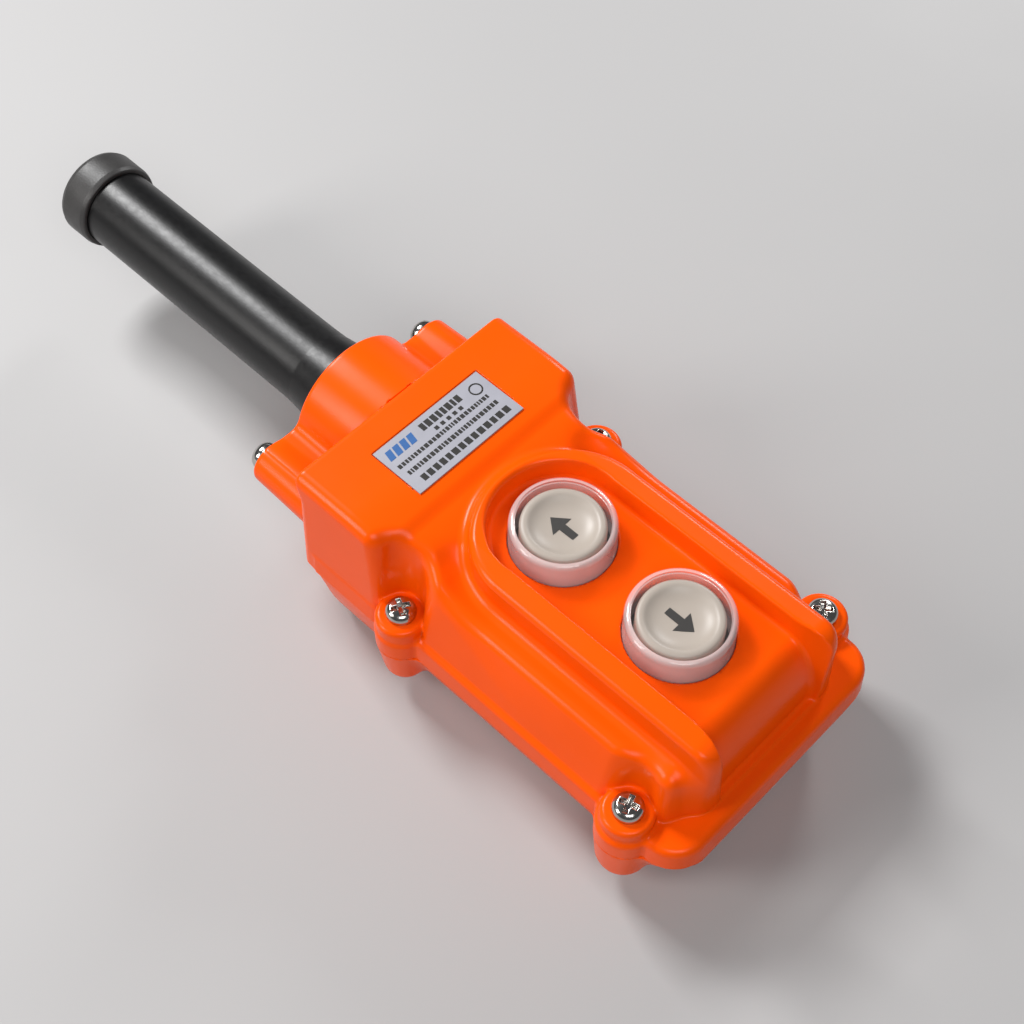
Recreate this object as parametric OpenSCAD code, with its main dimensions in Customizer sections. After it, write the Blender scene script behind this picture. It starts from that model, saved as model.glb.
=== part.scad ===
// Two-button pendant control station for a hoist, lying on its back.
// X is the width, +Y runs toward the cable sleeve and +Z comes out of the button face.
// The origin is the middle of the casing's flat back.

/* [Casing] */
// half width of the casing at the parting plane
body_half_w = 40; // [34:0.5:48]
// half length of the casing without the collar
body_half_l = 67.6; // [60:0.2:80]
// height of the parting plane between rear casing and front cover
part_z = 21.5; // [16:0.5:28]
// general wall thickness
wall = 3; // [2:0.1:4]
// corner radius at the button end of the casing
foot_r = 10; // [6:0.5:14]
// corner radius at the cable end of the casing
head_r = 5; // [3:0.5:8]
// height of the channel floor around the buttons
floor_z = 50; // [44:0.5:56]
// height of the guard rim beside the buttons
rim_z = 56.5; // [52:0.5:62]
// height of the raised head that carries the name plate
head_z = 57.8; // [54:0.2:64]
// half width of the channel between the guard rims
channel_half_w = 18.2; // [16:0.1:20]
// half width over the guard rims
rim_out = 25.2; // [23:0.1:27]
// foot end of the guard rims
rim_y = -62.6; // [-64:0.1:-58]

/* [Buttons] */
// centre of the upper push button along Y
up_y = 8.3; // [5:0.1:12]
// distance between the two push buttons
pitch = 39; // [34:0.5:44]
// radius of the clear boot
boot_r = 14; // [12:0.1:15]
// height of the boot's top
boot_z = 58; // [56:0.2:62]
// radius of the white push button
cap_r = 11.25; // [9:0.05:12]
// height of the push button's rim
cap_z = 57; // [55:0.2:60]
// radius of the dished finger rest
dish_r = 8.3; // [6:0.1:9]
// radius of the switch plunger
plunger_r = 4; // [3:0.1:5]
// travel of a push button
travel = 4; // [2:0.5:5]

/* [Fasteners] */
// sideways position of the cover screws
screw_x = 37.5; // [34:0.5:42]
// position of the cover screws near the head
screw_y1 = 29.8; // [26:0.2:34]
// position of the cover screws near the foot
screw_y2 = -48.8; // [-54:0.2:-44]
// height of the cover boss tops
boss_z = 33.5; // [30:0.5:38]
// radius of the cover boss tops
boss_r = 7; // [6:0.25:9]
// radius of the wider casing bosses
lobe_r = 8; // [7:0.25:10]
// height where the casing bosses round off below
lobe_z = 11.5; // [9:0.5:14]
// radius of the M4 pan heads
pan_r = 4.2; // [3.5:0.1:4.5]
// height of the M4 pan heads
pan_h = 3.2; // [2:0.1:3.5]

/* [Cable end] */
// height of the sleeve's axis
axis_z = 37; // [32:0.5:42]
// outer radius of the collar's neck
neck_r = 20; // [17:0.5:22]
// end face of the collar
neck_y = 88.8; // [84:0.2:94]
// sideways position of the collar's ears
ear_x = 30; // [26:0.5:34]
// radius of the collar's ears
ear_r = 6.3; // [5:0.1:8]
// outer radius of the rubber sleeve
sleeve_r = 11.85; // [10:0.05:14]
// radius of the sleeve's cable bore
cable_r = 7; // [4:0.5:8]
// free end of the sleeve
sleeve_y = 202; // [180:1:220]
// length of the end ring
ring_l = 11; // [8:0.5:14]
// outer radius of the end ring
ring_r = 13.6; // [12.5:0.1:15]

/* [Name plate] */
// width of the name plate
plate_w = 37.8; // [30:0.2:44]
// length of the name plate
plate_l = 17.6; // [14:0.2:22]
// centre of the name plate along Y
plate_y = 49; // [44:0.5:54]

/* [Hidden] */
$fn = 64;
eps = 0.01;
down_y = up_y - pitch;
button_ys = [up_y, down_y];
mid_y = (up_y + down_y) / 2;
base_z = wall;
base_top = 12;
house_top = 29;
strip_z = base_top;
strip_t = 1.5;
tip_h = 0.8;
strip_top = strip_z + strip_t + tip_h;
bridge_tip = strip_top + travel + 0.05;
bridge_z = bridge_tip + 0.85;
bridge_t = 1.2;
washer_t = 0.9;
cross_z = bridge_z + bridge_t;
cross_t = 3.6;
pole_dy = 8;
clamp_z = 42.2;
clamp_t = 3;
clamp_xy = [[15, up_y + 13.5], [-15, up_y + 13.5], [15, down_y - 13.5], [-15, down_y - 13.5]];
cover_screw_xy = [[screw_x, screw_y1], [-screw_x, screw_y1], [screw_x, screw_y2], [-screw_x, screw_y2]];
cavity_w = 32.8;
cavity_l = 60.2;
seal_out = 35;
seal_in = 33.5;
lock_x = 24.5;
mount_xy = [[lock_x, mid_y], [-lock_x, mid_y]];
strap_y = 50;
strap_x = 13;
spring_r = 3.4;
spring_wire = 0.45;
spring_turns = 7;
spring_z0 = 5;

orange = [0.93, 0.30, 0.03];
clear = [0.9, 0.9, 0.9, 0.35];
ivory = [0.87, 0.84, 0.79];
black = [0.05, 0.05, 0.05];
steel = [0.75, 0.75, 0.76];
brass = [0.72, 0.55, 0.25];
copper = [0.80, 0.45, 0.30];

// flat outlines

// rectangle with one corner radius at the foot and another at the head
module plan(hw, hl, rf, rh) {
  union() {
    translate([-hw, -hl + rf])
      square([2 * hw, 2 * hl - rf - rh]);
    translate([-hw + rf, -hl])
      square([2 * hw - 2 * rf, 2 * rf]);
    translate([-hw + rh, hl - 2 * rh])
      square([2 * hw - 2 * rh, 2 * rh]);
    for (s = [-1, 1]) {
      translate([s * (hw - rf), -hl + rf])
        circle(r = rf);
      translate([s * (hw - rh), hl - rh])
        circle(r = rh);
    }
  }
}

// a section in X and Z drawn out along Y
module along_y(y0, y1) {
  translate([0, y1, 0])
    rotate([90, 0, 0])
      linear_extrude(y1 - y0)
        children();
}

// a section in Y and Z drawn out along X
module along_x(x0, x1) {
  translate([x0, 0, 0])
    rotate([90, 0, 90])
      linear_extrude(x1 - x0)
        children();
}

// upright cylinder between two heights
module post(x, y, z0, z1, r) {
  translate([x, y, z0])
    cylinder(h = z1 - z0, r = r);
}

// cylinder along Y between two ends
module rod(x, z, y0, y1, r) {
  translate([x, y1, z])
    rotate([90, 0, 0])
      cylinder(h = y1 - y0, r = r);
}

// pan head screw standing on z = 0 with its shank below
module pan_screw(r_head, h_head, r_shank, length) {
  difference() {
    union() {
      intersection() {
        cylinder(h = h_head, r = r_head);
        translate([0, 0, h_head - 2.2 * r_head])
          sphere(r = 2.2 * r_head);
      }
      translate([0, 0, -length])
        cylinder(h = length + eps, r = r_shank);
    }
    for (a = [0, 90])
      rotate([0, 0, a])
        translate([-r_head * 0.58, -r_head * 0.11, h_head * 0.42])
          cube([r_head * 1.16, r_head * 0.22, h_head]);
  }
}

// front cover

// cross section of the cover beside the guard rims
module cover_section() {
  polygon([[-body_half_w, part_z], [body_half_w, part_z], [39.3, 28.2], [38.3, 29.4], [36.8, 39.1],
    [33.2, 46.7], [24, 46.4], [-24, 46.4], [-33.2, 46.7], [-36.8, 39.1], [-38.3, 29.4], [-39.3, 28.2]]);
}

// cross section of the block that carries both guard rims
module rim_section() {
  union() {
    polygon([[-rim_out, part_z], [rim_out, part_z], [rim_out, rim_z - 1.9], [rim_out - 1.9, rim_z],
      [1.9 - rim_out, rim_z], [-rim_out, rim_z - 1.9]]);
    for (s = [-1, 1])
      translate([s * (rim_out - 1.9), rim_z - 1.9])
        circle(r = 1.9);
  }
}

// plan of that block, with round corners at the foot
module rim_plan() {
  union() {
    translate([-rim_out, rim_y + 12])
      square([2 * rim_out, up_y - rim_y - 12]);
    translate([12 - rim_out, rim_y])
      square([2 * rim_out - 24, 24]);
    for (s = [-1, 1])
      translate([s * (rim_out - 12), rim_y + 12])
        circle(r = 12);
    intersection() {
      translate([0, up_y])
        circle(r = rim_out);
      translate([-30, 0])
        square([60, 30.6]);
    }
  }
}

// cross section of the raised head
module head_section() {
  union() {
    polygon([[-body_half_w, part_z], [body_half_w, part_z], [38.1, head_z - 3.4], [34.7, head_z],
      [-34.7, head_z], [-38.1, head_z - 3.4]]);
    for (s = [-1, 1])
      translate([s * 34.7, head_z - 3.4])
        circle(r = 3.4);
  }
}

// side view of the cover beside the rims, with the flange at the foot
module cover_side() {
  polygon([[-body_half_l, part_z], [50, part_z], [50, 50], [-51.5, 50], [-55, 46.7], [-56.8, 41],
    [-57.5, 34], [-57.6, 30], [-65.8, 28.9], [-67.2, 27.5]]);
}

// side view of the guard rims
module rim_side() {
  polygon([[rim_y, part_z], [40, part_z], [40, 60], [-52.6, 60], [-52.6, rim_z], [-57, 55.6],
    [-60, 53.3], [-61.9, 50.2], [rim_y, 46.6]]);
}

// side view of the space above the channel floor
module channel_side() {
  polygon([[60, floor_z], [-51, floor_z], [-54, 48.7], [-56.6, 45.5], [-58.6, 40], [-60, 30.1],
    [-70, 30.1], [-70, 70], [60, 70]]);
}

// plan of the raised head
module head_plan() {
  polygon([[-41, body_half_l], [41, body_half_l], [41, 34.5], [-41, 34.5]]);
}

// outside of the cover without holes
module cover_outside() {
  difference() {
    union() {
      intersection() {
        along_y(-body_half_l, 46)
          cover_section();
        along_x(-50, 50)
          cover_side();
        translate([0, 0, part_z])
          linear_extrude(60)
            plan(body_half_w, body_half_l, foot_r, head_r);
      }
      intersection() {
        along_y(-body_half_l, 46)
          rim_section();
        along_x(-50, 50)
          rim_side();
        translate([0, 0, part_z])
          linear_extrude(60)
            rim_plan();
      }
      // slope from the head down to the ledge beside the rim
      intersection() {
        along_x(-40, 40)
          polygon([[9, 37], [9, 45.2], [36.5, head_z], [46, head_z], [46, 37]]);
        along_y(0, 60)
          polygon([[-36.8, 37], [-33.2, 52.5], [-30, head_z], [30, head_z], [33.2, 52.5], [36.8, 37]]);
      }
      intersection() {
        along_y(30, body_half_l)
          head_section();
        translate([0, 0, part_z])
          linear_extrude(60)
            head_plan();
        translate([0, 0, part_z])
          linear_extrude(60)
            plan(body_half_w, body_half_l, foot_r, head_r);
      }
    }
    // channel with a round end above the upper button
    intersection() {
      along_x(-30, 30)
        channel_side();
      union() {
        translate([-channel_half_w, -75, 20])
          cube([2 * channel_half_w, 75 + up_y, 60]);
        post(0, up_y, 20, 80, channel_half_w + 1);
      }
    }
    // flaring groove round each screw
    for (p = cover_screw_xy)
      translate([p[0], p[1], boss_z])
        cylinder(h = 26.5, r1 = 5.9, r2 = 8.7);
  }
}

module front_cover() {
  color(orange)
    difference() {
      union() {
        cover_outside();
        for (p = cover_screw_xy)
          post(p[0], p[1], part_z, boss_z, boss_r);
      }
      // hollow of the cover
      difference() {
        union() {
          intersection() {
            along_y(-56.2, 40)
              polygon([[-cavity_w, 10], [cavity_w, 10], [cavity_w, 35], [29, 42.6], [24, 47],
                [-24, 47], [-29, 42.6], [-cavity_w, 35]]);
            along_x(-40, 40)
              polygon([[-cavity_l, 10], [60, 10], [60, 47], [-50, 47], [-52.5, 42], [-54.5, 30],
                [-55.5, 26.5], [-cavity_l, 25.5]]);
          }
          translate([0, 0, 10])
            linear_extrude(15.5)
              plan(cavity_w, cavity_l, 7, 3);
          translate([-cavity_w, 36, 20])
            cube([2 * cavity_w, 28, head_z - 3 - 20]);
        }
        // posts for the boot clamp plate and the collar screws
        for (p = clamp_xy)
          post(p[0], p[1], clamp_z + clamp_t, 50, 3.4);
        for (s = [-1, 1])
          rod(s * ear_x, axis_z - 1, 55, 70, 5.6);
        for (s = [-1, 1])
          translate([s > 0 ? ear_x : -ear_x - 8, 55, axis_z - 6.6])
            cube([8, 15, 11.2]);
        for (s = [-1, 1])
          post(s * screw_x, screw_y1, 20, boss_z + eps, boss_r + 1.6);
        for (s = [-1, 1])
          translate([s * screw_x, screw_y1, boss_z])
            cylinder(h = 26.5, r1 = boss_r + 1.6, r2 = boss_r + 4.2);
        for (s = [-1, 1])
          post(s * screw_x, screw_y2, 20, 60, boss_r + 2);
      }
      for (y = button_ys)
        post(0, y, 40, 60, boot_r + 0.2);
      for (p = clamp_xy)
        post(p[0], p[1], 40, 49, 1.25);
      for (p = cover_screw_xy)
        post(p[0], p[1], part_z - 1, 60, 2.25);
      for (p = cover_screw_xy)
        post(p[0], p[1], boss_z, boss_z + 9, pan_r + 0.6);
      for (s = [-1, 1])
        rod(s * ear_x, axis_z - 1, 57, 70, 2.9);
      rod(0, axis_z, 60, 70, 8.6);
      translate([-plate_w / 2 - 0.2, plate_y - plate_l / 2 - 0.2, head_z - 0.6])
        cube([plate_w + 0.4, plate_l + 0.4, 5]);
      // groove for the upper half of the seal
      difference() {
        translate([0, 0, part_z - 1])
          linear_extrude(1.5)
            plan(seal_out + 0.1, seal_out + 27.5, 9, 4);
        translate([0, 0, part_z - 2])
          linear_extrude(4)
            plan(seal_in - 0.1, seal_in + 27.3, 7.6, 3);
      }
    }
}

// rear casing

module rear_section() {
  union() {
    polygon([[-body_half_w, part_z], [-37.9, 14], [-34.2, 4.4], [-27.7, 0], [27.7, 0], [34.2, 4.4],
      [37.9, 14], [body_half_w, part_z]]);
    for (s = [-1, 1])
      translate([s * 28.3, 6.5])
        circle(r = 6.5);
  }
}

module rear_side() {
  union() {
    polygon([[-body_half_l, part_z], [-66.8, 14], [-64.8, 5.2], [-57.6, 0], [60.2, 0], [65.4, 5.2],
      [67, 14], [body_half_l, part_z]]);
    translate([-58.5, 6.5])
      circle(r = 6.5);
    translate([59, 6.5])
      circle(r = 6.5);
  }
}

module rear_casing() {
  color(orange)
    difference() {
      union() {
        difference() {
          intersection() {
            along_y(-body_half_l, body_half_l)
              rear_section();
            along_x(-50, 50)
              rear_side();
            linear_extrude(part_z)
              plan(body_half_w, body_half_l, foot_r, head_r + 3);
          }
          // slanted corners at the foot and at the head
          for (s = [-1, 1]) {
            translate([s * 37.05, -64.65, part_z])
              rotate([0, 0, -s * 135])
                rotate([-25, 0, 0])
                  translate([-20, 0, -60])
                    cube([40, 20, 70]);
            translate([s * 37, 64.6, part_z])
              rotate([0, 0, -s * 45])
                rotate([-11, 0, 0])
                  translate([-20, 0, -60])
                    cube([40, 20, 70]);
          }
        }
        for (p = cover_screw_xy) {
          post(p[0], p[1], lobe_z, part_z, lobe_r);
          translate([p[0], p[1], lobe_z])
            intersection() {
              sphere(r = lobe_r);
              translate([-20, -20, -6])
                cube([40, 40, 6.01]);
            }
          translate([p[0] > 0 ? 20 : -37.5, p[1] - lobe_r, lobe_z])
            cube([17.5, 2 * lobe_r, part_z - lobe_z]);
        }
      }
      difference() {
        union() {
          translate([0, 0, 12])
            linear_extrude(20)
              plan(cavity_w, cavity_l, 7, 3);
          translate([0, 0, wall])
            linear_extrude(20)
              plan(cavity_w - 1.2, cavity_l - 1.2, 7, 3);
        }
        for (p = cover_screw_xy)
          post(p[0], p[1], 0, 30, 6.4);
        for (p = mount_xy)
          post(p[0], p[1], 0, base_z + 1.5, 4);
        for (s = [-1, 1])
          post(s * strap_x, strap_y, 0, axis_z - 6, 4);
        translate([-strap_x, strap_y - 3, 0])
          cube([2 * strap_x, 6, axis_z - 9]);
      }
      for (p = cover_screw_xy) {
        post(p[0], p[1], 8, 30, 2.25);
        post(p[0], p[1], 12, 30, 2.9);
      }
      for (p = mount_xy)
        post(p[0], p[1], 1.2, 30, 1.25);
      for (s = [-1, 1])
        post(s * strap_x, strap_y, 12, 40, 1.25);
      rod(0, axis_z, strap_y - 5, strap_y + 5, cable_r + 0.2);
      difference() {
        translate([0, 0, part_z - 1])
          linear_extrude(3)
            plan(seal_out + 0.1, seal_out + 27.5, 9, 4);
        translate([0, 0, part_z - 2])
          linear_extrude(5)
            plan(seal_in - 0.1, seal_in + 27.3, 7.6, 3);
      }
    }
}

module cover_gasket() {
  color(black)
    difference() {
      translate([0, 0, part_z - 0.95])
        linear_extrude(1.4)
          plan(seal_out, seal_out + 27.4, 9, 4);
      translate([0, 0, part_z - 2])
        linear_extrude(4)
          plan(seal_in, seal_in + 27.4, 7.6, 3);
    }
}

module cover_screws() {
  color(steel)
    for (p = cover_screw_xy)
      translate([p[0], p[1], boss_z])
        pan_screw(pan_r, pan_h, 1.98, 23);
}

module cover_inserts() {
  color(brass)
    for (p = cover_screw_xy)
      difference() {
        post(p[0], p[1], 12.1, part_z - 1.2, 2.88);
        post(p[0], p[1], 11, part_z + 1, 2);
      }
}

// cable end

// outline of the collar seen along the cable
module collar_outline() {
  union() {
    translate([0, axis_z])
      circle(r = neck_r);
    for (s = [-1, 1])
      translate([s * ear_x, axis_z - 1])
        circle(r = ear_r);
    translate([-ear_x, axis_z - 6.6])
      square([2 * ear_x, 11]);
  }
}

module gland_collar() {
  color(orange)
    difference() {
      union() {
        intersection() {
          along_y(body_half_l + 0.05, neck_y)
            collar_outline();
          translate([-60, 0, part_z - 3.8])
            cube([120, 200, 60]);
        }
      }
      rod(0, axis_z, body_half_l - 1, 76.4, 16.4);
      rod(0, axis_z, 76, 100, 13.65);
      for (s = [-1, 1])
        rod(s * ear_x, axis_z - 1, body_half_l - 1, 100, 2.25);
    }
}

module collar_screws() {
  color(steel)
    for (s = [-1, 1])
      translate([s * ear_x, neck_y + washer_t, axis_z - 1])
        rotate([-90, 0, 0])
          pan_screw(pan_r, pan_h + 0.6, 1.98, 29);
}

module collar_washers() {
  color(steel)
    for (s = [-1, 1])
      difference() {
        rod(s * ear_x, axis_z - 1, neck_y + eps, neck_y + washer_t - eps, 4.6);
        rod(s * ear_x, axis_z - 1, neck_y - 1, neck_y + 2, 2.1);
      }
}

module collar_inserts() {
  color(brass)
    for (s = [-1, 1])
      difference() {
        rod(s * ear_x, axis_z - 1, 58, body_half_l - 0.3, 2.88);
        rod(s * ear_x, axis_z - 1, 57, body_half_l + 1, 2);
      }
}

module gland_washer() {
  color(steel)
    difference() {
      rod(0, axis_z, 75, 76.3, 16.2);
      rod(0, axis_z, 74, 78, 13.7);
    }
}

// rubber sleeve with a root flange, a flared root and a plain end
module cable_sleeve() {
  color(black)
    translate([0, 0, axis_z])
      rotate([-90, 0, 0])
        rotate_extrude()
          polygon([[cable_r, body_half_l + 0.2], [16, body_half_l + 0.2], [16, 74.9], [13.5, 74.9],
            [13.5, 90.5], [12.9, 94], [sleeve_r + 0.15, 101], [sleeve_r, 104],
            [sleeve_r, sleeve_y - 0.6], [sleeve_r - 0.6, sleeve_y], [cable_r, sleeve_y]]);
}

module sleeve_end_ring() {
  color([0.16, 0.16, 0.15])
    translate([0, 0, axis_z])
      rotate([-90, 0, 0])
        rotate_extrude()
          polygon([[sleeve_r + 0.02, sleeve_y - ring_l], [ring_r - 0.7, sleeve_y - ring_l],
            [ring_r, sleeve_y - ring_l + 0.8], [ring_r, sleeve_y - 1], [ring_r - 0.8, sleeve_y],
            [sleeve_r + 0.02, sleeve_y]]);
}

// name plate

module name_plate() {
  color([0.8, 0.8, 0.83])
    translate([-plate_w / 2, plate_y - plate_l / 2, head_z - 0.6])
      cube([plate_w, plate_l, 0.5]);
}

// plain bars and blocks that stand for the printing
module name_plate_print() {
  color([0.10, 0.25, 0.60])
    translate([0, plate_y, head_z - 0.1]) {
      translate([-17, 3.4, 0])
        cube([10, 3.4, 0.06]);
      translate([-5, 4.2, 0])
        cube([19, 2, 0.06]);
      for (i = [0:3])
        translate([-17, 0.6 - 2.2 * i, 0])
          cube([i == 1 ? 34 : 30 - i, 0.9, 0.06]);
    }
}

// buttons

// clear boot that covers a button, with its flange clamped under the floor
module boot(y) {
  color(clear)
    translate([0, y, 0])
      rotate_extrude()
        union() {
          polygon([[0, boot_z - 0.9], [12.4, boot_z - 0.9], [13.1, boot_z - 1.6], [13.1, 46.8],
            [13.1, 45.25], [16.6, 45.25], [16.6, 46.8], [boot_r, 46.8], [boot_r, boot_z - 1.2],
            [boot_r - 1.2, boot_z], [0, boot_z]]);
          intersection() {
            translate([boot_r - 1.2, boot_z - 1.2])
              circle(r = 1.2);
            translate([boot_r - 1.2, boot_z - 1.2])
              square(2);
          }
        }
}

module button_boot_up() {
  boot(up_y);
}

module button_boot_down() {
  boot(down_y);
}

module boot_clamp_plate() {
  color(black)
    difference() {
      translate([0, mid_y, clamp_z])
        linear_extrude(clamp_t)
          plan(19.5, 38, 5, 5);
      for (y = button_ys)
        post(0, y, 40, 50, 12);
      for (p = clamp_xy)
        post(p[0], p[1], 40, 50, 1.6);
    }
}

module boot_clamp_screws() {
  color(steel)
    for (p = clamp_xy)
      translate([p[0], p[1], clamp_z])
        rotate([180, 0, 0])
          pan_screw(2.6, 1.7, 1.2, 6.5);
}

// white button with a dished finger rest and a socket for the plunger
module push_button(y) {
  color(ivory)
    translate([0, y, 0])
      difference() {
        rotate_extrude()
          polygon([[0, 53.7], [4.02, 53.7], [4.02, 38], [6, 38], [6, 53], [9.6, 53], [9.6, 44],
            [cap_r, 44], [cap_r, cap_z - 0.8], [cap_r - 0.8, cap_z], [dish_r + 0.8, cap_z],
            [dish_r, cap_z - 0.55], [dish_r - 1, cap_z - 1.2], [dish_r - 3, cap_z - 1.75], [0, cap_z - 2]]);
        translate([0, 0, cap_z - 2.25])
          children();
      }
}

// arrow for raising, pointing to the cable end
module arrow() {
  polygon([[-3.6, 0.4], [0, 4.6], [3.6, 0.4], [1.1, 0.4], [1.1, -4.4], [-1.1, -4.4], [-1.1, 0.4]]);
}

module push_button_up() {
  push_button(up_y)
    linear_extrude(2)
      arrow();
}

module push_button_down() {
  push_button(down_y)
    linear_extrude(2)
      rotate(180)
        arrow();
}

module mark(y, a) {
  color([0.05, 0.05, 0.05])
    translate([0, y, cap_z - 2.23])
      linear_extrude(0.26)
        rotate(a)
          arrow();
}

module button_mark_up() {
  mark(up_y, 0);
}

module button_mark_down() {
  mark(down_y, 180);
}

// plunger with a crosshead that carries the contact bridges
module plunger(y) {
  color([0.30, 0.12, 0.08])
    union() {
      post(0, y, cross_z + cross_t - eps, 53.6, plunger_r);
      translate([-4.5, y - 11, cross_z])
        cube([9, 22, cross_t]);
      post(0, y, 16, cross_z + eps, 2);
    }
}

module plunger_up() {
  plunger(up_y);
}

module plunger_down() {
  plunger(down_y);
}

// two bridging bars with a contact tip under each end
module bridges(y) {
  color(copper)
    for (s = [-1, 1])
      translate([0, y + s * pole_dy, 0]) {
        translate([-13, -2.4, bridge_z])
          cube([26, 4.8, bridge_t - 0.02]);
        for (t = [-1, 1])
          post(t * 11, 0, bridge_tip, bridge_z + eps, 1.8);
      }
}

module contact_bridges_up() {
  bridges(up_y);
}

module contact_bridges_down() {
  bridges(down_y);
}

// points of one round of the wire at step i
function spring_pts(i, n, z0, z1) =
  let (a = 360 * spring_turns * i / n, zc = z0 + spring_wire + (z1 - z0 - 2 * spring_wire) * i / n)
  [for (k = [0:7])
    [(spring_r + spring_wire * cos(45 * k)) * cos(a), (spring_r + spring_wire * cos(45 * k)) * sin(a),
      zc + spring_wire * sin(45 * k)]];

// helical spring swept as one skin
module helix(z0, z1) {
  n = spring_turns * 20;
  polyhedron(
    points = [for (i = [0:n]) each spring_pts(i, n, z0, z1)],
    faces = concat(
      [[for (k = [0:7]) k]],
      [for (i = [0:n - 1]) for (k = [0:7])
        [8 * i + k, 8 * i + 8 + k, 8 * i + 8 + (k + 1) % 8, 8 * i + (k + 1) % 8]],
      [[for (k = [0:7]) 8 * n + 7 - k]]));
}

module return_spring_up() {
  color(steel)
    translate([0, up_y, 0])
      helix(spring_z0 + 0.02, cross_z - 0.02);
}

module return_spring_down() {
  color(steel)
    translate([0, down_y, 0])
      helix(spring_z0 + 0.02, cross_z - 0.02);
}

// switch

module switch_base() {
  color(black)
    difference() {
      union() {
        translate([-30.5, up_y - pitch - 16, base_z + 1.5])
          cube([61, pitch + 32, base_top - base_z - 1.5]);
      }
      for (y = button_ys)
        post(0, y, spring_z0, 40, 4.6);
      for (p = mount_xy)
        post(p[0], p[1], 0, 40, 1.6);
      for (y = button_ys)
        for (s = [-1, 1])
          for (t = [-1, 1])
            post(t * 26, y + s * pole_dy, 6, 40, 1.25);
    }
}

module switch_housing() {
  color([0.12, 0.10, 0.10])
    difference() {
      translate([-20, down_y - 16, base_top])
        cube([40, pitch + 32, house_top - base_top]);
      for (y = button_ys) {
        translate([-17, y - 13, base_top - 1])
          cube([34, 26, 15]);
        post(0, y, 20, 40, plunger_r + 0.05);
        for (s = [-1, 1])
          translate([-30, y + s * pole_dy - 2.6, base_top - 1])
            cube([60, 5.2, 1 + strip_t + 0.1]);
      }
    }
}

// flat strips from each pole out to its terminal
module fixed_contacts() {
  color(brass)
    for (y = button_ys)
      for (s = [-1, 1])
        for (t = [-1, 1])
          difference() {
            union() {
              translate([t > 0 ? 8.5 : -29.5, y + s * pole_dy - 2.4, strip_z + 0.02])
                cube([21, 4.8, strip_t - 0.02]);
              post(t * 11, y + s * pole_dy, strip_z + 1, strip_top, 1.8);
            }
            post(t * 26, y + s * pole_dy, 0, 40, 1.6);
          }
}

module terminal_screws() {
  color(steel)
    for (y = button_ys)
      for (s = [-1, 1])
        for (t = [-1, 1])
          translate([t * 26, y + s * pole_dy, strip_z + strip_t + 0.02])
            pan_screw(2.8, 1.8, 1.2, 6);
}

module switch_mount_screws() {
  color(steel)
    for (p = mount_xy)
      translate([p[0], p[1], base_top + 0.02])
        pan_screw(2.8, 1.8, 1.2, 9.5);
}

// strap over the cable inside the head
module cable_strap() {
  color(steel)
    difference() {
      union() {
        rod(0, axis_z, strap_y - 4, strap_y + 4, cable_r + 1.6);
        translate([-18, strap_y - 4, axis_z - 6])
          cube([36, 8, 1.4]);
      }
      rod(0, axis_z, strap_y - 5, strap_y + 5, cable_r + 0.2);
      translate([-cable_r - 0.2, strap_y - 5, axis_z - 12])
        cube([2 * cable_r + 0.4, 10, 12]);
      translate([-20, strap_y - 5, axis_z - 16])
        cube([40, 10, 10]);
      for (s = [-1, 1])
        post(s * strap_x, strap_y, 20, 50, 1.6);
    }
}

module cable_strap_screws() {
  color(steel)
    for (s = [-1, 1])
      translate([s * strap_x, strap_y, axis_z - 4.58])
        pan_screw(2.8, 1.8, 1.2, 14);
}

front_cover();
rear_casing();
cover_gasket();
cover_screws();
cover_inserts();
gland_collar();
collar_washers();
collar_screws();
collar_inserts();
gland_washer();
cable_sleeve();
sleeve_end_ring();
name_plate();
name_plate_print();
boot_clamp_plate();
boot_clamp_screws();
button_boot_up();
button_boot_down();
push_button_up();
push_button_down();
button_mark_up();
button_mark_down();
plunger_up();
plunger_down();
contact_bridges_up();
contact_bridges_down();
return_spring_up();
return_spring_down();
switch_base();
switch_housing();
fixed_contacts();
terminal_screws();
switch_mount_screws();
cable_strap();
cable_strap_screws();
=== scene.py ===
import bpy, bmesh, math
import numpy as np
from mathutils import Vector, Matrix


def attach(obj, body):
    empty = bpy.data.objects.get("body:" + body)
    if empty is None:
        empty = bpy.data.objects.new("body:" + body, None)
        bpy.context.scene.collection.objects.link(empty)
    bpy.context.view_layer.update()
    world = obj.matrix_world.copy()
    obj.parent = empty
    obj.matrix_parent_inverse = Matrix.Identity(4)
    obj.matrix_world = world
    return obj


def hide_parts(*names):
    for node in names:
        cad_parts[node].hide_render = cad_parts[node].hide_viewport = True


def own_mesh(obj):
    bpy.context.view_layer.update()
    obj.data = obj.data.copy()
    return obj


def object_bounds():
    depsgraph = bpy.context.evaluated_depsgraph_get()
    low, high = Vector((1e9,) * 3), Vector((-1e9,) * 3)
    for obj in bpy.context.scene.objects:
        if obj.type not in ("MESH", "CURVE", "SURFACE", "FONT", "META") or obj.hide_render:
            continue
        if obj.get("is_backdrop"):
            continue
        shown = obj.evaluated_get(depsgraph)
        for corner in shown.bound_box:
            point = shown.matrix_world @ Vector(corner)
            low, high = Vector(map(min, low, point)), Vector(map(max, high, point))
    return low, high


# Lengths are in mm unless a comment says metres. X is the width, +Y the cable end, +Z the button face.
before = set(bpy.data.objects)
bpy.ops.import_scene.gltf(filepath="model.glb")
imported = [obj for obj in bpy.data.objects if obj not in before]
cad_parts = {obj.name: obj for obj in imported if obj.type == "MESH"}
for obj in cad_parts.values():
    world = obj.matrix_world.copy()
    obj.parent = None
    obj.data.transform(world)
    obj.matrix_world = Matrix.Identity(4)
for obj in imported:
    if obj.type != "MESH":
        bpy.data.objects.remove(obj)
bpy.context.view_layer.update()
MM = 0.001
scene = bpy.context.scene
scene.view_settings.view_transform = "Standard"

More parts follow.
